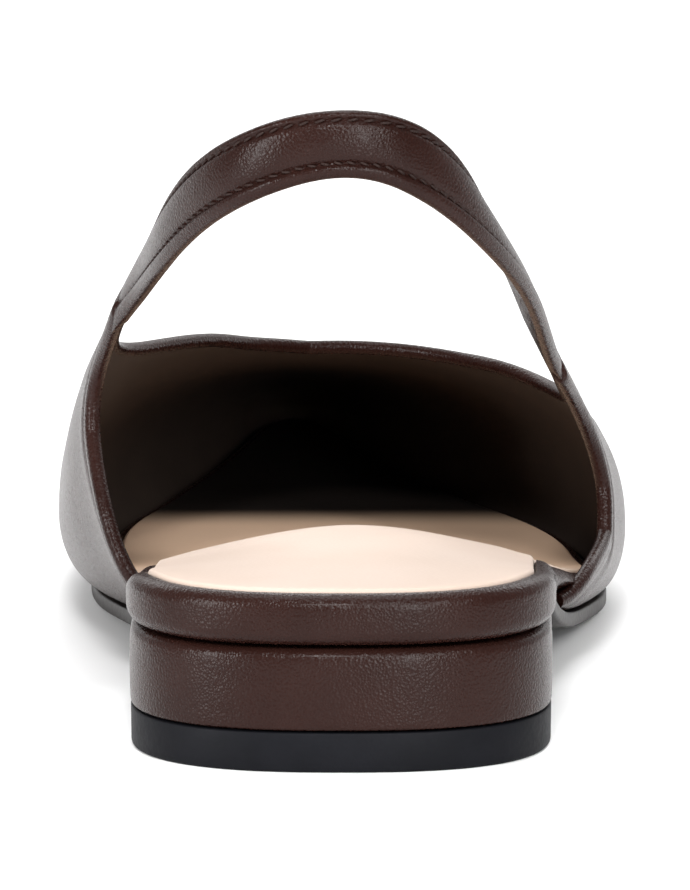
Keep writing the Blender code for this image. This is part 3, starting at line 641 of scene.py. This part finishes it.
medialEdge = dict(
    topline=((0.600, 0.465), (0.568, 0.485), (0.511, 0.509), (0.455, 0.521), (0.409, 0.541),
             (0.371, 0.574), (0.333, 0.625), (0.295, 0.681), (0.260, 0.732)),
    back=((0.235, 0.688), (0.265, 0.625), (0.290, 0.559), (0.298, 0.480), (0.290, 0.411),
          (0.277, 0.357), (0.265, 0.307), (0.257, 0.253), (0.252, 0.210), (0.250, -1)),
)


def lastSection(y, side):
    # sizes of the last's cross-section: ridge, widest and lower edge x, then lower, widest and ridge z
    lateral, medial = halfWidths(y)
    name = "lateral" if side > 0 else "medial"

    def value(column):
        return naturalSpline(last["along"], last[column], np.asarray(y) / shoe["length"])

    middle, half = (lateral - medial) / 2, (lateral + medial) / 2 - upper["featherInset"]
    close = superEnd((shoe["length"] - upper["featherInset"] - y) / shoe["toeRound"], shoe["toeSquareness"])
    bulge = shoe["ballWidth"] * value(name + "Bulge")
    ridgeX = blend(middle, shoe["ballWidth"] * value("ridgeSide"), close)
    low = soleTop(y) + shoe["gap"]
    wideZ = np.maximum(shoe["instep"] * value(name + "Widest"), low + upper["turnIn"])
    ridgeZ = wideZ + (shoe["instep"] * value("ridge") - wideZ) * close
    widest, feather = middle + side * (half + bulge) * close, middle + side * half * close
    return ridgeX, widest, feather, low, wideZ, ridgeZ, value(name + "Square")


def lastPoint(y, side, turn):
    # above the widest line a superellipse up to the ridge, turn 0 to 1
    # below it an arc in to the sole, turn 0 to -1
    ridgeX, widest, feather, low, wideZ, ridgeZ, square = lastSection(y, side)
    angle = np.clip(turn, 0, 1) * math.pi / 2
    across, up = np.clip(np.cos(angle), 0, 1) ** (2 / square), np.sin(angle) ** (2 / square)
    under = np.clip(-turn, 0, 1) * upper["featherAngle"]
    inward = (1 - np.cos(under)) / (1 - math.cos(upper["featherAngle"]))
    down = np.sin(under) / math.sin(upper["featherAngle"])
    x = np.where(turn >= 0, ridgeX + (widest - ridgeX) * across, blend(widest, feather, inward))
    z = np.where(turn >= 0, wideZ + (ridgeZ - wideZ) * up, blend(wideZ, low, down))
    return np.stack([x, y + 0 * x, z], -1)


def turnAt(y, side, z):
    # the turn at which the last's surface is at height z
    _, _, _, low, wideZ, ridgeZ, square = lastSection(y, side)
    above = np.arcsin(np.clip((z - wideZ) / (ridgeZ - wideZ), 0, 1) ** (square / 2)) / (math.pi / 2)
    sunk = np.clip((wideZ - z) / (wideZ - low), 0, 1) * math.sin(upper["featherAngle"])
    return np.where(z >= wideZ, above, -np.arcsin(sunk) / upper["featherAngle"])


heelPieces = makeHeel()
outsolePiece = makeOutsole()
insolePiece = makeCoveredInsole()
sockPiece = makeSockLining()
for piece in heelPieces + [outsolePiece, insolePiece, sockPiece]:
    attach(piece, "root")
print("heel, outsole, covered insole and sock ready")


def edgeCurve(points, side, share):
    # smooth curve through points of the free edge, as y and turn
    y = np.array([p[0] for p in points]) * shoe["length"]
    height = np.array([p[1] for p in points])
    turn = np.where(height < 0, -1.0, turnAt(y, side, height * shoe["instep"]))
    knots = np.linspace(0, 1, len(y))
    curve = np.stack([naturalSpline(knots, y, share), naturalSpline(knots, turn, share)], 1)
    curve[:, 1] = np.clip(curve[:, 1], -1, 1)
    return curve


def toplineCurve(edge, side, share):
    # the edge from the throat on the ridge to the strap's tab
    return edgeCurve(((upper["throat"], 1.0),) + edge["topline"], side, share)


def towardsTip(start, turn, steps):
    # places ahead of start, ever closer together up to the toe's tip
    share = np.arange(1, steps + 1) / steps
    y = start + (shoe["length"] - upper["featherInset"] - start) * (1 - (1 - share) ** upper["crowding"])
    return np.stack([y, np.full(steps, turn)], 1)


def upperGrid(side, edge):
    # columns from the strap's tab to the tip, each straight from the topline or ridge down to the back edge
    # or lower edge, in y and turn
    columns, topline, back = upper["columns"], upper["toplineColumns"], upper["backColumns"]
    share = np.linspace(0, 1, topline + 1) ** upper["toplineCrowding"]
    top = np.concatenate([toplineCurve(edge, side, share)[::-1],
                          towardsTip(upper["throat"] * shoe["length"], 1.0, columns - topline)])
    low = edgeCurve(edge["back"], side, np.linspace(0, 1, back + 1))
    low = np.concatenate([low, towardsTip(low[-1, 0], -1.0, columns - back)])
    down = np.linspace(0, 1, upper["across"] + 1)[None, :, None]
    place = blend(top[:, None], low[:, None], down)
    return lastPoint(place[..., 0], side, place[..., 1])


def freeEdge(side, edge):
    # the free edge of one side from the throat over the strap's tab to the sole, with its outward direction
    # and the share of the full roll that it carries
    steps, tabSteps = upper["edgeSteps"], upper["tabSteps"]
    topline = toplineCurve(edge, side, np.linspace(0, 1, steps))
    back = edgeCurve(edge["back"], side, np.linspace(0, 1, steps))
    tab = blend(topline[-1], back[0], np.linspace(0, 1, tabSteps + 2)[1:-1, None])
    place = np.concatenate([topline, tab, back])
    y, turn = place[:, 0], place[:, 1]
    point = lastPoint(y, side, turn)
    towardToe = lastPoint(y + mm, side, turn) - point
    lower, higher = (np.clip(turn + step, -1, 1) for step in (-upper["turnStep"], upper["turnStep"]))
    downward = lastPoint(y, side, lower) - lastPoint(y, side, higher)
    size = np.r_[np.full(steps, upper["toplineShare"]), np.full(tabSteps, upper["tabShare"]), np.ones(steps)]
    return point, unit(np.cross(downward, towardToe) * side), size


def gridNormals(grid):
    # direction down each column times direction towards the toe, which points out on the lateral side
    down, forward = np.gradient(grid, axis=1), np.gradient(grid, axis=0)
    return unit(np.cross(down, forward))


def edgeDistance(grid, edge, side):
    # distance of each point from the nearest point of the free edge on its side
    share = np.linspace(0, 1, upper["edgeSteps"])
    curve = np.concatenate([toplineCurve(edge, side, share), edgeCurve(edge["back"], side, share)])
    boundary = lastPoint(curve[:, 0], side, curve[:, 1])
    nearest = np.full(grid.shape[:2], 1.0)
    for point in boundary:
        nearest = np.minimum(nearest, np.linalg.norm(grid - point, axis=-1))
    return nearest


def smoothed(values, passes):
    # each value becomes a quarter of each neighbour and half of itself, over and over; the ends stay
    for _ in range(passes):
        inner = (values[:-2] + 2 * values[1:-1] + values[2:]) / 4
        values = np.concatenate([values[:1], inner, values[-1:]])
    return values


def makeFoldedEdge():
    # rounded roll carried along the free edge: full along the back of the wings, thin elsewhere
    medial, lateral = freeEdge(-1, medialEdge), freeEdge(1, lateralEdge)
    point, facing, size = (np.concatenate([m[::-1], l[1:]]) for m, l in zip(medial, lateral))
    run = np.r_[0, np.cumsum(np.linalg.norm(np.diff(point, axis=0), axis=1))]
    fine = np.linspace(0, run[-1], upper["rollSteps"])
    path = smoothed(np.stack([np.interp(fine, run, point[:, k]) for k in range(3)], 1), upper["pathPasses"])
    along = unit(np.gradient(path, axis=0))
    facing = np.stack([np.interp(fine, run, facing[:, k]) for k in range(3)], 1)
    facing = smoothed(facing, upper["facingPasses"])
    facing = unit(facing - along * (facing * along).sum(axis=1, keepdims=True))
    outward = np.cross(facing, along)
    size = smoothed(np.interp(fine, run, size), upper["sizePasses"])
    middle = path - facing * (upper["wall"] / 2) + outward * upper["rollShift"]
    angle = np.linspace(0, 2 * np.pi, 25)[:-1]
    profile = np.stack([np.cos(angle) * upper["edgeWide"], np.sin(angle) * upper["edgeThick"]], 1)
    scale = np.stack([size, blend(upper["thinnest"], 1.0, size)], 1)
    rolls = profile[None] * scale[:, None]
    return sweptPiece("upperFoldedEdge", middle, outward, facing, rolls, leather, sharp=70)


def makeUpper():
    # leather shell and lining on the last's grid, one behind the other, and the rolled edge over both
    grids, linings, quads = [], [], []
    for side, edge in ((-1, medialEdge), (1, lateralEdge)):
        grid = upperGrid(side, edge)
        normal = gridNormals(grid) * side
        away = edgeDistance(grid, edge, side)
        # the folded edge stands a little proud, with a pressed line beside it and a soft swell after that
        relief = sum(height * bump(away, place, width) for place, width, height in upper["relief"])
        faces = gridFaces(*grid.shape[:2], False) + len(grids) * grid.shape[0] * grid.shape[1]
        quads.append(faces if side > 0 else faces[:, ::-1])
        grids.append((grid + normal * relief[..., None]).reshape(-1, 3))
        linings.append(grid.reshape(-1, 3))
    shell = newMesh("upperLeather", np.concatenate(grids), np.concatenate(quads), leather, weld=weldDistance)
    thick = shell.modifiers.new("wall", "SOLIDIFY")
    thick.thickness = upper["leatherWall"]
    thick.offset = -1
    inner = newMesh("upperLining", np.concatenate(linings), np.concatenate(quads), lining, weld=weldDistance)
    # the lining starts under the leather: its points go in along their own normals
    mesh = inner.data
    points = np.zeros(len(mesh.vertices) * 3)
    normals = np.zeros(len(mesh.vertices) * 3)
    mesh.vertices.foreach_get("co", points)
    mesh.vertex_normals.foreach_get("vector", normals)
    points -= normals * (upper["leatherWall"] + upper["liningClear"])
    mesh.vertices.foreach_set("co", points)
    mesh.update()
    thick = inner.modifiers.new("wall", "SOLIDIFY")
    thick.thickness = upper["wall"] - upper["leatherWall"]
    thick.offset = -1
    for piece in (shell, inner, makeFoldedEdge()):
        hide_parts("upper")
        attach(piece, "root")


makeUpper()
print("upper ready")

strap = dict(
    width=9.4 * mm, thick=2.2 * mm, edge=0.7 * mm, height=86.7 * mm, spread=31 * mm, stations=520,
    lapDepth=1.35 * mm, lapThin=0.36, taper=6 * mm,
    stitchPitch=1.95 * mm, stitchLength=1.45 * mm, stitchRadius=0.23 * mm, stitchTilt=0.18 * mm,
    stitchSink=0.30 * mm, seamMargin=1.5 * mm,
    upperRow=1.25 * mm, lowerRow=2.20 * mm, puff=0.55 * mm, puffPower=0.75,
    flatDrop=0.12 * mm, edgeDrop=0.15 * mm,
    groove=0.34 * mm, grooveWidth=0.28 * mm, bead=0.22 * mm, beadWidth=0.42 * mm, beadFromRow=0.85 * mm,
    # shares of the spread, of the heel's length and of the height, and the degrees that the face looks up
    path=((-0.903, 1.104, 0.727, 20), (-0.803, 0.708, 0.807, 11), (-0.640, 0.375, 0.897, 4),
          (-0.400, 0.167, 0.964, 2), (-0.100, 0.104, 1.000, 0), (0.190, 0.125, 0.995, 3),
          (0.430, 0.229, 0.945, 14), (0.615, 0.417, 0.865, 27), (0.768, 0.750, 0.766, 36),
          (0.860, 1.125, 0.677, 34)),
    medialLap=((0.330, 0.575), (0.292, 0.634), (0.256, 0.688)),
    lateralLap=((0.304, 0.582), (0.332, 0.542), (0.358, 0.502)),
)


def lapStation(side, along, height):
    # middle of the strap and its facing where it lies inside a wing
    y = np.array([along * shoe["length"]])
    turn = turnAt(y, side, height * shoe["instep"])
    here = lastPoint(y, side, turn)[0]
    forward = lastPoint(y + mm, side, turn)[0] - here
    upward = lastPoint(y, side, turn + upper["turnStep"])[0] - here
    facing = unit(np.cross(forward, upward) * side)
    return here - facing * strap["lapDepth"], facing


def strapFrame(count):
    # middle line, facing and width direction of the strap, its running length, and where it leaves the
    # wings: a spline through the laps and the free path
    start = [lapStation(-1, *place) for place in strap["medialLap"]]
    end = [lapStation(1, *place) for place in strap["lateralLap"]]
    free = np.array([(s * strap["spread"], y * heel["length"], h * strap["height"])
                     for s, y, h, _ in strap["path"]])
    knots = np.concatenate([[p for p, _ in start], free, [p for p, _ in end]])
    outward = unit(np.cross(np.gradient(knots, axis=0), (0.0, 0.0, 1.0)))
    lean = np.radians([p[3] for p in strap["path"]])[:, None]
    outward[3:-3] = outward[3:-3] * np.cos(lean) + np.array((0, 0, 1)) * np.sin(lean)
    outward[:3], outward[-3:] = [n for _, n in start], [n for _, n in end]
    places = np.r_[0, np.cumsum(np.linalg.norm(np.diff(knots, axis=0), axis=1))]
    fine = np.linspace(0, places[-1], count)
    middle = naturalSpline(places, knots, fine)
    along = unit(np.gradient(middle, axis=0))
    out = naturalSpline(places, outward, fine)
    out = unit(out - along * (out * along).sum(axis=1, keepdims=True))
    run = np.r_[0, np.cumsum(np.linalg.norm(np.diff(middle, axis=0), axis=1))]
    return middle, out, np.cross(out, along), run, (places[2], places[-3])


def strapProfile():
    # outer face puffed between the two sewn lines, rounded edges, flat back
    halfW, halfT, edge = strap["width"] / 2, strap["thick"] / 2, strap["edge"]
    across = np.linspace(-halfW + edge, halfW - edge, 49)
    high, low = halfW - strap["upperRow"], strap["lowerRow"] - halfW
    inside = np.clip(1 - ((across - (high + low) / 2) / ((high - low) / 2)) ** 2, 0, 1)
    face = halfT - strap["flatDrop"] + strap["puff"] * inside ** strap["puffPower"]
    face += strap["bead"] * bump(across, low - strap["beadFromRow"], strap["beadWidth"])
    for row in (high, low):
        face -= strap["groove"] * bump(across, row, strap["grooveWidth"])
    outer = np.stack([face, across], 1)
    turn = np.radians(np.linspace(80, -80, 7))
    topEdge = np.stack([np.sin(turn) * (halfT - strap["edgeDrop"]), halfW - edge + edge * np.cos(turn)], 1)
    back = np.stack([np.full(9, -halfT), np.linspace(halfW - edge, edge - halfW, 9)], 1)
    lowEdge = topEdge[::-1] * (1, -1)
    return np.concatenate([outer, topEdge, back, lowEdge])[::-1]


def makeStitches(middle, out, up, run, thin, first, last):
    # two sewn lines: short capsules that follow the strap, a little tilted and sunk in their groove
    count = int((last - first - 2 * strap["seamMargin"]) / strap["stitchPitch"])
    at = first + strap["seamMargin"] + (np.arange(count) + 0.5) * strap["stitchPitch"]
    angle = np.linspace(0, 2 * np.pi, 7)[:-1]
    ends = np.array([-1.0, -0.8, -0.3, 0.3, 0.8, 1.0])
    girth = np.array([0.25, 0.8, 1.0, 1.0, 0.8, 0.25])
    sink = np.array([-0.30, -0.05, 0.08, 0.08, -0.05, -0.30]) * mm
    size = len(ends) * len(angle)
    points, quads, caps = [], [], []
    for row, fromEdge in ((1, strap["upperRow"]), (-1, strap["lowerRow"])):
        height = row * (strap["width"] / 2 - fromEdge)
        for place in at:
            spots = place + ends * strap["stitchLength"] / 2
            centre, facing, rise = (np.stack([np.interp(spots, run, line[:, k]) for k in range(3)], 1)
                                    for line in (middle, out, up))
            face = np.interp(spots, run, thin) * (strap["thick"] / 2 - strap["stitchSink"])
            centre += facing * (face + sink)[:, None]
            centre += rise * (height + row * strap["stitchTilt"] * ends)[:, None]
            ring = np.stack([np.cos(angle), np.sin(angle)], 1) * strap["stitchRadius"]
            base = len(points) * size
            points.append(sweep(centre, facing, rise, ring[None] * girth[:, None, None]).reshape(-1, 3))
            quads.append(gridFaces(len(ends), len(angle), True)[:, ::-1] + base)
            end = base + size - 1
            caps += [range(base, base + len(angle)), range(end, end - len(angle), -1)]
    return newMesh("strapStitches", np.concatenate(points), np.concatenate(quads), thread, caps)


def makeStrap():
    # the band thins towards each wing, where it goes in between leather and lining
    middle, out, up, run, (first, last) = strapFrame(strap["stations"])
    free = smoothStep(run, first, first + strap["taper"])
    free = free * (1 - smoothStep(run, last - strap["taper"], last))
    thin = np.stack([blend(strap["lapThin"], 1.0, free), np.ones(len(run))], 1)
    bands = strapProfile()[None] * thin[:, None]
    band = sweptPiece("slingStrap", middle, out, up, bands, leather, sharp=40)
    for piece in (band, makeStitches(middle, out, up, run, thin[:, 0], first, last)):
        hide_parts("sling_strap")
        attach(piece, "root")


makeStrap()
print("strap ready")

studio = dict(
    floor=(0.93, 0.93, 0.93), floorRoughness=0.9, floorReach=3.0, world=(0.12, 0.75), worldRamp=(-0.3, 0.8),
    eye=(0.55 * mm, -1178 * mm, 229 * mm), pitch=8.83, lens=351.4, sensor=36, farthest=20,
    # name, place, target, size and watts
    lights=(
        ("overhead", (0.0, 0.05, 1.0), (0.0, 0.0, 0.0), (0.7, 0.7), 7.0),
        ("beyond", (0.0, 1.5, 1.0), (0.0, 1.5, 0.0), (2.6, 1.2), 30.0),
        ("left", (-0.75, -0.58, 0.26), (0.0, -0.1, 0.06), (0.18, 0.50), 7.5),
        ("right", (0.52, -0.74, 0.60), (0.0, -0.1, 0.04), (0.10, 0.36), 3.4),
        ("front", (0.35, -1.00, 0.26), (0.0, -0.1, 0.06), (0.11, 0.50), 6.0),
        ("key", (-0.05, -0.95, 0.70), (0.0, -0.05, 0.04), (0.14, 0.14), 6.0),
    ),
)


def makeFloor():
    # pale square on the ground under the shoe
    material = bpy.data.materials.new("paleFloor")
    material.use_nodes = True
    shader = material.node_tree.nodes["Principled BSDF"]
    shader.inputs["Base Color"].default_value = (*studio["floor"], 1)
    shader.inputs["Roughness"].default_value = studio["floorRoughness"]
    corners = np.array([(-1, -1, 0), (1, -1, 0), (1, 1, 0), (-1, 1, 0)]) * studio["floorReach"]
    corners = corners - np.array(shoe["shift"])
    floor = newMesh("studioFloor", corners, [[0, 1, 2, 3]], material)


def areaLight(name, place, target, size, watts):
    # white rectangular lamp that faces its target
    data = bpy.data.lights.new(name, "AREA")
    data.shape = "RECTANGLE"
    data.size, data.size_y = size
    data.energy = watts
    light = bpy.data.objects.new(name, data)
    light.location = place
    light.rotation_euler = (Vector(target) - Vector(place)).to_track_quat("-Z", "Y").to_euler()
    bpy.context.scene.collection.objects.link(light)


def makeStudio():
    # floor, sky, lamps and the photo's camera
    makeFloor()
    world = bpy.data.worlds.new("softWorld")
    world.use_nodes = True
    tree = world.node_tree
    background = tree.nodes["Background"]
    background.inputs["Color"].default_value = (1, 1, 1, 1)
    # the camera sees white; the light itself is dim behind the camera and grows towards the toe
    split = tree.nodes.new("ShaderNodeSeparateXYZ")
    tree.links.new(tree.nodes.new("ShaderNodeTexCoord").outputs["Generated"], split.inputs["Vector"])
    toToe = tree.nodes.new("ShaderNodeMapRange")
    ramp = (*studio["worldRamp"], *studio["world"])
    for socket, value in zip(("From Min", "From Max", "To Min", "To Max"), ramp):
        toToe.inputs[socket].default_value = value
    tree.links.new(split.outputs["Y"], toToe.inputs["Value"])
    mix = tree.nodes.new("ShaderNodeMix")
    tree.links.new(tree.nodes.new("ShaderNodeLightPath").outputs["Is Camera Ray"], mix.inputs["Factor"])
    tree.links.new(toToe.outputs["Result"], mix.inputs["A"])
    mix.inputs["B"].default_value = 1.0
    tree.links.new(mix.outputs["Result"], background.inputs["Strength"])
    bpy.context.scene.world = world
    bpy.context.scene.view_settings.view_transform = "Standard"
    for name, place, target, size, watts in studio["lights"]:
        areaLight(name, place, target, size, watts)
    camera = bpy.data.cameras.new("photoCamera")
    camera.lens = studio["lens"]
    camera.sensor_width = studio["sensor"]
    camera.clip_end = studio["farthest"]
    eye = bpy.data.objects.new("photoCamera", camera)
    eye.location = np.array(studio["eye"]) + np.array(shoe["shift"])
    eye.rotation_euler = (math.radians(90 - studio["pitch"]), 0, 0)
    bpy.context.scene.collection.objects.link(eye)
    bpy.context.scene.camera = eye


makeStudio()
print("studio ready")
